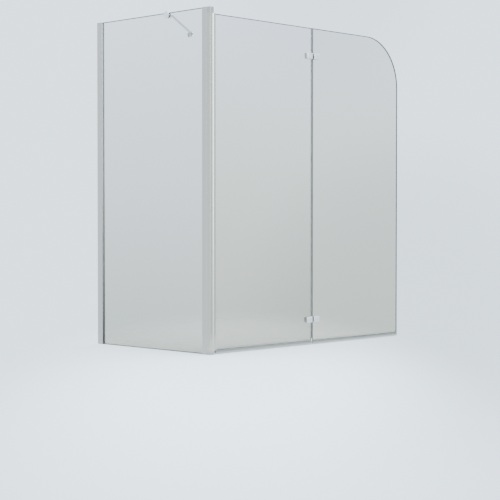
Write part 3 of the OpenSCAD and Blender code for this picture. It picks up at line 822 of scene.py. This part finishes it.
@dataclass(frozen=True)
class Finishes:
    """Every material of the screen, made once."""

    profile: bpy.types.Material
    post: bpy.types.Material
    block: bpy.types.Material
    bar: bpy.types.Material
    chrome: bpy.types.Material
    inner_glass: bpy.types.Material
    outer_glass: bpy.types.Material
    side_glass: bpy.types.Material
    hard_clear: bpy.types.Material
    soft_clear: bpy.types.Material
    lip: bpy.types.Material
    grey_seal: bpy.types.Material
    pad: bpy.types.Material
    wall_seal: bpy.types.Material
    nylon: bpy.types.Material
    steel: bpy.types.Material

    @classmethod
    def make(cls) -> "Finishes":
        """Builds the set of materials.

        Returns:
            The set.
        """
        return cls(
            # Satin metal, faintly lined: the broad soft stripes of the profiles.
            profile=AnodisedAluminium().material("anodised_aluminium"),
            # The same metal, smoother for crisper stripes on the post and its round stile, in a slightly less
            # blue colour that is painted light from the room on that side.
            post=AnodisedAluminium("#A8A599", 0.16).material("anodised_aluminium_post_painted_light"),
            # Die-cast blocks and caps in satin nickel: calm grey faces with a soft highlight on each edge.
            block=PlatedMetal("#9C9994", 0.16).material("satin_nickel"),
            # Finely brushed steel: one soft bright line along the tube.
            bar=PlatedMetal("#949190", 0.2).material("brushed_steel_tube"),
            # Polished chrome: plates that mirror the pale surroundings and look nearly white.
            chrome=PlatedMetal("#D6D4D3", 0.18).material("polished_chrome"),
            # Clear panes with a light tint, darker downwards by painted shade, each pane with its own painted
            # shade colours, and thin dark edges with a painted dark line of shade beside them.
            inner_glass=ToughenedGlass(
                bottom=0.015,
                top=1.372,
                edge="#8C8B84",
            ).material("toughened_glass_inner"),
            outer_glass=ToughenedGlass(
                bottom=0.015,
                top=1.372,
                corner_at=1.216,
                corner=0.22,
                low="#BCB8A6",
                middle="#CEC9BB",
                high="#DFDEDD",
                end_shade_line=3.0 * MM,
            ).material("toughened_glass_outer"),
            side_glass=ToughenedGlass(
                bottom=0.0012,
                top=1.398,
                thin_axis=0,
                low="#AAA89A",
                middle="#D1CCC8",
                high="#E7E6E6",
                foot_shade_line=1.5 * MM,
            ).material("toughened_glass_side"),
            # Hard clear clips: hardly seen, they only soften the glass behind them.
            hard_clear=ClearPvc().material("clear_hard_pvc"),
            # Soft clear gaskets: pale, milky strips.
            soft_clear=SoftPlastic("#BBBFBC", transmission=0.3).material("clear_soft_pvc"),
            # The soft lips under the leaves: pale at their tips, darker at the thick root.
            lip=SoftPlastic("#62605A", transmission=0.3, foot="#BDB9B1", top=13.5 * MM).material(
                "grey_clear_soft_pvc"
            ),
            # Dark grey seals: the line at the fold and in the post's groove.
            grey_seal=SoftPlastic("#5C5A55", 0.6).material("grey_soft_pvc"),
            # Pads under the hinge plates: a matt light grey that hardly parts plate from glass.
            pad=SoftPlastic("#BDBBB6", 0.6).material("light_grey_soft_pvc"),
            # Smoke-grey wall gaskets: a narrow line, with painted shade that darkens it towards its foot.
            wall_seal=SoftPlastic("#A3A6A4", 0.5, foot="#3C3E3D", top=0.75).material("smoke_soft_pvc_painted_foot_shade"),
            # Moulded nylon bushes: plain white with a dull shine.
            nylon=SoftPlastic("#E8E8E3", 0.42).material("white_nylon"),
            # Turned and drawn stainless steel: cool, fairly bright screws and pins.
            steel=AnodisedAluminium("#969A9C", 0.2).material("stainless_steel"),
        )


# ---------------------------------------------------------------- sub-assemblies


class SubAssembly:
    """A part of the screen: new pieces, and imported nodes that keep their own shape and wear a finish."""

    wears: ClassVar[dict[str, tuple[str, ...]]] = {}

    def build(self, finishes: Finishes) -> None:
        """Makes the new pieces: none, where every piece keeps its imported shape."""

    def dress(self, finishes: Finishes) -> None:
        """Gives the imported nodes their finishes.

        Args:
            finishes: the screen's materials.
        """
        for finish, nodes in self.wears.items():
            material = getattr(finishes, finish)
            for name in nodes:
                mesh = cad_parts[name].data
                mesh.materials.clear()
                mesh.materials.append(material)
                log.info("dressed %s in %s", name, material.name)


@dataclass
class SidePanel(SubAssembly):
    """The fixed side glass with its wall profile."""

    wears = {
        "profile": ("wall_profile",),
        "block": ("wall_profile_cap",),
        "side_glass": ("side_glass",),
        "grey_seal": ("rim_strip",),
    }
    gasket: GlazingGasket = GlazingGasket(cavity=7.2, mouth=6.2, cover=6.0, nose=1.8)
    mouth: float = 663.0 * MM

    def build(self, finishes: Finishes) -> None:
        """Makes the wall gaskets with rounded noses.

        Args:
            finishes: the screen's materials.
        """
        low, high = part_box("wall_gaskets")
        right = moved(self.gasket.section(), 0.0, self.mouth)
        halves = [bar(half, low.z, high.z, Axis.UP) for half in (right, mirrored(right))]
        finish = finishes.wall_seal
        add_piece("wall_gasket_strips", halves, Body.FIXED, finish, ["wall_gaskets"])


@dataclass
class CornerPost(SubAssembly):
    """The corner post with its side channel, blocks and cover, in millimetres."""

    wears = {
        "profile": ("side_channel",),
        "post": ("corner_post",),
        "block": ("channel_cap", "upper_block", "foot_block"),
        "grey_seal": ("post_seal",),
        "steel": (
            "channel_screws",
            "upper_block_screws",
            "foot_block_screws",
            "upper_pivot_pin",
            "lower_pivot_pin",
        ),
    }
    half: float = 10.0
    pivot: float = 10.0
    corner: float = 1.5
    cover_edge: float = 3.0
    gasket: GlazingGasket = GlazingGasket(cavity=5.9, mouth=5.1, cover=6.1, nose=1.4)

    def build(self, finishes: Finishes) -> None:
        """Makes the cover with its round edge and the channel's gaskets.

        Args:
            finishes: the screen's materials.
        """
        low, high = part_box("post_cover")
        plan = RoundEnded(self.half, self.pivot, self.corner)
        cover = pillow(plan, low.z, high.z, self.cover_edge, Axis.UP)
        add_piece("post_cover_cap", [cover], Body.FIXED, finishes.block, ["post_cover"])
        low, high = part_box("channel_gaskets")
        right = moved(upside_down(self.gasket.section()), 0.0, high.y - self.gasket.nose * MM)
        halves = [bar(half, low.z, high.z, Axis.UP) for half in (right, mirrored(right))]
        finish = finishes.soft_clear
        add_piece("channel_gasket_strips", halves, Body.FIXED, finish, ["channel_gaskets"])


@dataclass
class Leaves(SubAssembly):
    """The two front leaves with their stile, seals and bushes, in millimetres."""

    wears = {
        "post": ("pivot_stile",),
        "inner_glass": ("inner_glass",),
        "outer_glass": ("outer_glass",),
        "nylon": ("upper_bush", "lower_bush"),
    }
    glass_half: float = 2.5
    hair: float = 0.03  # keeps a seal's inner side off the glass's face, so the two don't share a plane
    wall: float = 1.0
    leg: float = 10.0
    floor: float = 1.5
    blade: float = 0.9
    fold: float = 618.0
    fold_wall: float = 0.9
    fold_leg: float = 6.0
    fold_half: float = 4.0
    bulb: float = 3.4
    bulb_wall: float = 0.8
    bulb_sunk: float = 0.1
    gasket_t: float = 0.95
    gasket_nose: float = 0.9
    gasket_out: float = 1.6
    hinge_heights: tuple[float, float] = (109.0, 1250.0)
    hinge_clear: float = 13.5

    def clip(self) -> np.ndarray:
        """Section of the bottom seal's clip across the leaf, with the glass's lower edge at height 0.

        Returns:
            The outline in metres.
        """
        out, inn, r = self.glass_half + self.wall, self.glass_half + self.hair, 0.4
        return rounded(
            [
                (-out, -self.floor, 0.5),
                (out, -self.floor, 0.5),
                (out, self.leg, r),
                (inn, self.leg, r),
                (inn, -0.02, 0.2),
                (-inn, -0.02, 0.2),
                (-inn, self.leg, r),
                (-out, self.leg, r),
            ]
        )

    def blades(self, drop: float) -> list[np.ndarray]:
        """Sections of the soft lips under the clip: two tapered upright blades and a curved drip fin behind.

        Args:
            drop: how far the blades hang below the glass's lower edge, in millimetres.

        Returns:
            The outlines in metres.
        """
        out, root, tip, wide = self.glass_half + self.wall, 0.1, 0.25, self.blade
        top = -self.floor + 0.3  # rooted in the clip's floor
        front = [(-out, -drop, tip), (-out + 0.7, -drop, tip), (-out + wide, top, root), (-out, top, root)]
        middle = [(0.2, -drop, tip), (wide, -drop, tip), (1.0, top, root), (0.0, top, root)]
        fin = [
            (out - 1.1, top, 0.1),
            (out - 0.9, -5.2, 4.0),
            (out + 0.8, -8.6, 4.0),
            (out + 2.8, -10.4, 0.2),
            (out + 3.3, -9.9, 0.2),
            (out + 1.6, -8.0, 4.0),
            (out, -4.9, 4.0),
            (out, top, 0.1),
        ]
        return [rounded(front), rounded(middle), rounded(fin)]

    def build(self, finishes: Finishes) -> None:
        """Makes the seals.

        Args:
            finishes: the screen's materials.
        """
        for node, body in (("inner_bottom_seal", Body.INNER_LEAF), ("outer_bottom_seal", Body.OUTER_LEAF)):
            low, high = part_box(node)
            edge = high.z - self.leg * MM
            clip = bar(moved(self.clip(), 0.0, edge), low.x, high.x, Axis.ALONG)
            add_piece(f"{node}_clip", [clip], body, finishes.hard_clear, [node])
            blades = self.blades((edge - low.z) / MM)
            lips = [bar(moved(blade, 0.0, edge), low.x, high.x, Axis.ALONG) for blade in blades]
            add_piece(f"{node}_lips", lips, body, finishes.lip, [node])
        self.build_fold(finishes)
        self.build_gaskets(finishes)

    def build_fold(self, finishes: Finishes) -> None:
        """Makes the fold seal between the hinges: a clear clip on the inner leaf and a grey hollow bulb.

        Args:
            finishes: the screen's materials.
        """
        low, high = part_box("fold_seal")
        edge, out, inn = -self.fold_half, self.glass_half + self.fold_wall, self.glass_half + self.hair
        end, back, r = edge - self.fold_leg, edge + self.fold_wall, 0.3
        clip = rounded(
            [
                (end, -out, r),
                (back, -out, 0.4),
                (back, out, 0.4),
                (end, out, r),
                (end, inn, r),
                (edge + self.hair, inn, 0.1),
                (edge + self.hair, -inn, 0.1),
                (end, -inn, r),
            ]
        )
        centre = (self.fold + back - self.bulb_sunk + self.bulb, 0.0)
        outer, inner = circle(centre, self.bulb), circle(centre, self.bulb - self.bulb_wall)
        lower, upper = (h * MM for h in self.hinge_heights)
        clear = self.hinge_clear * MM
        spans = [(low.z, lower - clear), (lower + clear, upper - clear), (upper + clear, high.z)]
        clips = [bar(moved(clip, self.fold * MM, 0.0), a, b, Axis.UP) for a, b in spans]
        bulbs = [pipe(outer, inner, a, b, Axis.UP) for a, b in spans]
        body, slot, node = Body.INNER_LEAF, Slot.CLEAR_SEAL, ["fold_seal"]
        add_piece("fold_seal_clip", clips, body, finishes.hard_clear, node)
        add_piece("fold_seal_bulb", bulbs, body, finishes.grey_seal, node, hollow=True)

    def build_gaskets(self, finishes: Finishes) -> None:
        """Makes the gaskets that hold the inner leaf in its stile.

        Args:
            finishes: the screen's materials.
        """
        low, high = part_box("stile_gaskets")
        inn, r = self.glass_half + self.hair, 0.2
        x0, nose = low.x / MM, high.x / MM
        mouth = nose - self.gasket_nose + 0.02
        section = rounded(
            [
                (x0, inn, r),
                (nose, inn, r),
                (nose, inn + 0.5, r),
                (mouth, inn + self.gasket_out, r),
                (mouth, inn + self.gasket_t, 0.05),
                (x0, inn + self.gasket_t, r),
            ]
        )
        strips = [bar(half, low.z, high.z, Axis.UP) for half in (section, upside_down(section))]
        slot, finish = Slot.CLEAR_SEAL, finishes.soft_clear
        add_piece("stile_gasket_strips", strips, Body.INNER_LEAF, finish, ["stile_gaskets"])


@dataclass
class FoldHinges(SubAssembly):
    """The two glass-to-glass hinges at the fold, in millimetres."""

    wears = {
        "chrome": ("inner_hinge_plates", "outer_hinge_plates"),
        "pad": ("inner_hinge_pads", "outer_hinge_pads"),
        "steel": ("inner_hinge_screws", "outer_hinge_screws", "hinge_pins"),
        "nylon": ("hinge_bushes",),
    }
    plate_height: float = 25.0
    corner: float = 2.2
    edge: float = 1.3

    def build(self, finishes: Finishes) -> None:
        """Makes the outside cover plates with soft edges.

        Args:
            finishes: the screen's materials.
        """
        for node, body in (("inner_hinge_covers", Body.INNER_LEAF), ("outer_hinge_covers", Body.OUTER_LEAF)):
            low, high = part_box(node)
            x0, x1, z0, z1 = low.x / MM, high.x / MM, low.z / MM, high.z / MM
            rects = [
                SoftRect((x0, bottom), (x1, bottom + self.plate_height), self.corner)
                for bottom in (z0, z1 - self.plate_height)
            ]
            plates = [pillow(rect, -high.y, -low.y, self.edge, Axis.FRONT) for rect in rects]
            add_piece(f"{node}_plates", plates, body, finishes.chrome, [node])


@dataclass
class StabiliserBar(SubAssembly):
    """The bar from its clamp on the side glass to its flange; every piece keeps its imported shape."""

    wears = {
        "chrome": ("glass_clamp", "wall_flange"),
        "bar": ("support_bar", "bar_end"),
        "grey_seal": ("clamp_liner",),
        "steel": ("clamp_screw", "bar_screw", "swivel_screw"),
    }


# ---------------------------------------------------------------- studio


@dataclass(frozen=True)
class SoftPanel:
    """A soft patch of light round the studio: full within core degrees of its middle, gone by spread."""

    azimuth: float
    core: float
    spread: float
    power: float
    tilt: float = 0.0

    def middle(self) -> tuple[float, float, float]:
        """The direction of the patch's middle."""
        turn, rise = math.radians(self.azimuth), math.radians(self.tilt)
        return (math.cos(turn) * math.cos(rise), math.sin(turn) * math.cos(rise), math.sin(rise))


@dataclass
class Studio:
    """The camera at the photograph's angle, a pale floor and soft light.

    The camera's yaw and pitch are in radians, and its lens and sensor in millimetres.
    """

    camera_at: tuple[float, float, float] = (-3.8486, -3.9268, 0.5555)
    yaw: float = math.radians(43.908)
    pitch: float = math.radians(-1.394)
    lens: float = 98.39
    sensor: float = 36.0
    far: float = 100.0
    floor_radius: float = 6.0
    floor_sides: int = 96
    floor_drop: float = 0.5 * MM
    floor_colour: str = "#F2F3F4"
    pool_at: tuple[float, float] = (-0.4, -0.53)
    pool_length: float = 3.5
    pool_width: float = 0.95
    pool_core: float = 0.25
    air: str = "#E0F1FF"
    room: float = 2.55
    overhead: float = 1.85
    level: float = 0.15
    panels: tuple[SoftPanel, ...] = (
        SoftPanel(azimuth=-44, core=10, spread=28, power=-0.5),
        SoftPanel(azimuth=-66, core=0, spread=17, power=18.0, tilt=8),
        SoftPanel(azimuth=0, core=0, spread=28, power=9.0, tilt=20),
        SoftPanel(azimuth=90, core=8, spread=24, power=1.1),
        SoftPanel(azimuth=37, core=1, spread=8, power=-0.45, tilt=-3.5),
        SoftPanel(azimuth=40.8, core=1, spread=6, power=-0.25, tilt=10.5),
    )

    def build(self) -> None:
        """Makes the camera, the floor and the world."""
        self._camera()
        self._floor()
        self._world()

    def _camera(self) -> None:
        """Places the camera: it looks along (cos yaw cos pitch, sin yaw cos pitch, sin pitch)."""
        camera = bpy.data.objects.new("camera", bpy.data.cameras.new("camera"))
        bpy.context.scene.collection.objects.link(camera)
        camera.data.lens = self.lens
        camera.data.sensor_width = self.sensor
        camera.data.clip_end = self.far
        ahead = Vector(
            (
                math.cos(self.yaw) * math.cos(self.pitch),
                math.sin(self.yaw) * math.cos(self.pitch),
                math.sin(self.pitch),
            )
        )
        right = ahead.cross(Vector((0, 0, 1))).normalized()
        turn = Matrix((right, right.cross(ahead), -ahead)).transposed()
        camera.matrix_world = Matrix.Translation(self.camera_at) @ turn.to_4x4()
        bpy.context.scene.camera = camera

    def _floor(self) -> None:
        """Makes a round floor with a pool of light that fades into the backdrop.

        The pool is an ellipse round the object, turned to the camera: clear share = smoothstep of its radius.
        """
        turn = np.linspace(0, 2 * np.pi, self.floor_sides, endpoint=False)
        outline = np.stack([np.cos(turn), np.sin(turn), 0 * turn], 1) * self.floor_radius
        outline[:, 2] = -self.floor_drop
        mesh = bpy.data.meshes.new("floor")
        mesh.from_pydata(outline.tolist(), [], [list(range(len(outline)))])
        floor = bpy.data.objects.new("floor", mesh)
        bpy.context.scene.collection.objects.link(floor)
        material, tree, out = new_material("pale_floor")
        coords = add_node(tree, "ShaderNodeTexCoord")
        pool = add_node(
            tree,
            "ShaderNodeMapping",
            {
                "vector_type": "TEXTURE",
                "Location": (*self.pool_at, 0.0),
                "Rotation": (0.0, 0.0, self.yaw),
                "Scale": (self.pool_length, self.pool_width, 1.0),
            },
            {"Vector": coords.outputs["Object"]},
        )
        reach = add_node(tree, "ShaderNodeVectorMath", {"operation": "LENGTH"}, {0: pool.outputs["Vector"]})
        fade = add_node(
            tree,
            "ShaderNodeMapRange",
            {"interpolation_type": "SMOOTHSTEP", "From Min": self.pool_core, "From Max": 1.0},
            {"Value": reach.outputs["Value"]},
        )
        matt = add_node(tree, "ShaderNodeBsdfDiffuse", {"Color": linear(self.floor_colour)})
        clear = add_node(tree, "ShaderNodeBsdfTransparent")
        mix = add_node(
            tree,
            "ShaderNodeMixShader",
            None,
            {0: fade.outputs["Result"], 1: matt.outputs["BSDF"], 2: clear.outputs["BSDF"]},
        )
        tree.links.new(mix.outputs[0], out.inputs["Surface"])
        mesh.materials.append(material)

    def _world(self) -> None:
        """Lights the studio from a pale backdrop with soft panels.

        Brightness = room up to a level, rising evenly from there to room * overhead at the top, + each
        panel's power * smoothstep of how far a direction leans towards the panel.
        """
        world = bpy.data.worlds.new("studio")
        bpy.context.scene.world = world
        world.use_nodes = True
        tree = world.node_tree
        tree.nodes.clear()
        coords = add_node(tree, "ShaderNodeTexCoord")
        parts = add_node(tree, "ShaderNodeSeparateXYZ", None, {"Vector": coords.outputs["Generated"]})
        total = add_node(
            tree,
            "ShaderNodeMapRange",
            {
                "From Min": self.level,
                "From Max": 1.0,
                "To Min": self.room,
                "To Max": self.room * self.overhead,
            },
            {"Value": parts.outputs["Z"]},
        ).outputs["Result"]
        for panel in self.panels:
            lean = add_node(
                tree,
                "ShaderNodeVectorMath",
                {"operation": "DOT_PRODUCT", 1: panel.middle()},
                {0: coords.outputs["Generated"]},
            )
            glow = add_node(
                tree,
                "ShaderNodeMapRange",
                {
                    "interpolation_type": "SMOOTHSTEP",
                    "From Min": math.cos(math.radians(panel.spread)),
                    "From Max": math.cos(math.radians(panel.core)),
                    "To Min": 0.0,
                    "To Max": panel.power,
                },
                {"Value": lean.outputs["Value"]},
            )
            total = add_node(
                tree, "ShaderNodeMath", {"operation": "ADD"}, {0: total, 1: glow.outputs["Result"]}
            ).outputs[0]
        back = add_node(tree, "ShaderNodeBackground", {"Color": linear(self.air)}, {"Strength": total})
        out = add_node(tree, "ShaderNodeOutputWorld")
        tree.links.new(back.outputs["Background"], out.inputs["Surface"])


def main() -> None:
    """Builds the studio, then each sub-assembly in order."""
    logging.basicConfig(level=logging.INFO, format="%(message)s")
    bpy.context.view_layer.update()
    Studio().build()
    finishes = Finishes.make()
    for part in (SidePanel(), CornerPost(), Leaves(), FoldHinges(), StabiliserBar()):
        part.build(finishes)
        part.dress(finishes)


if __name__ == "__main__":
    main()
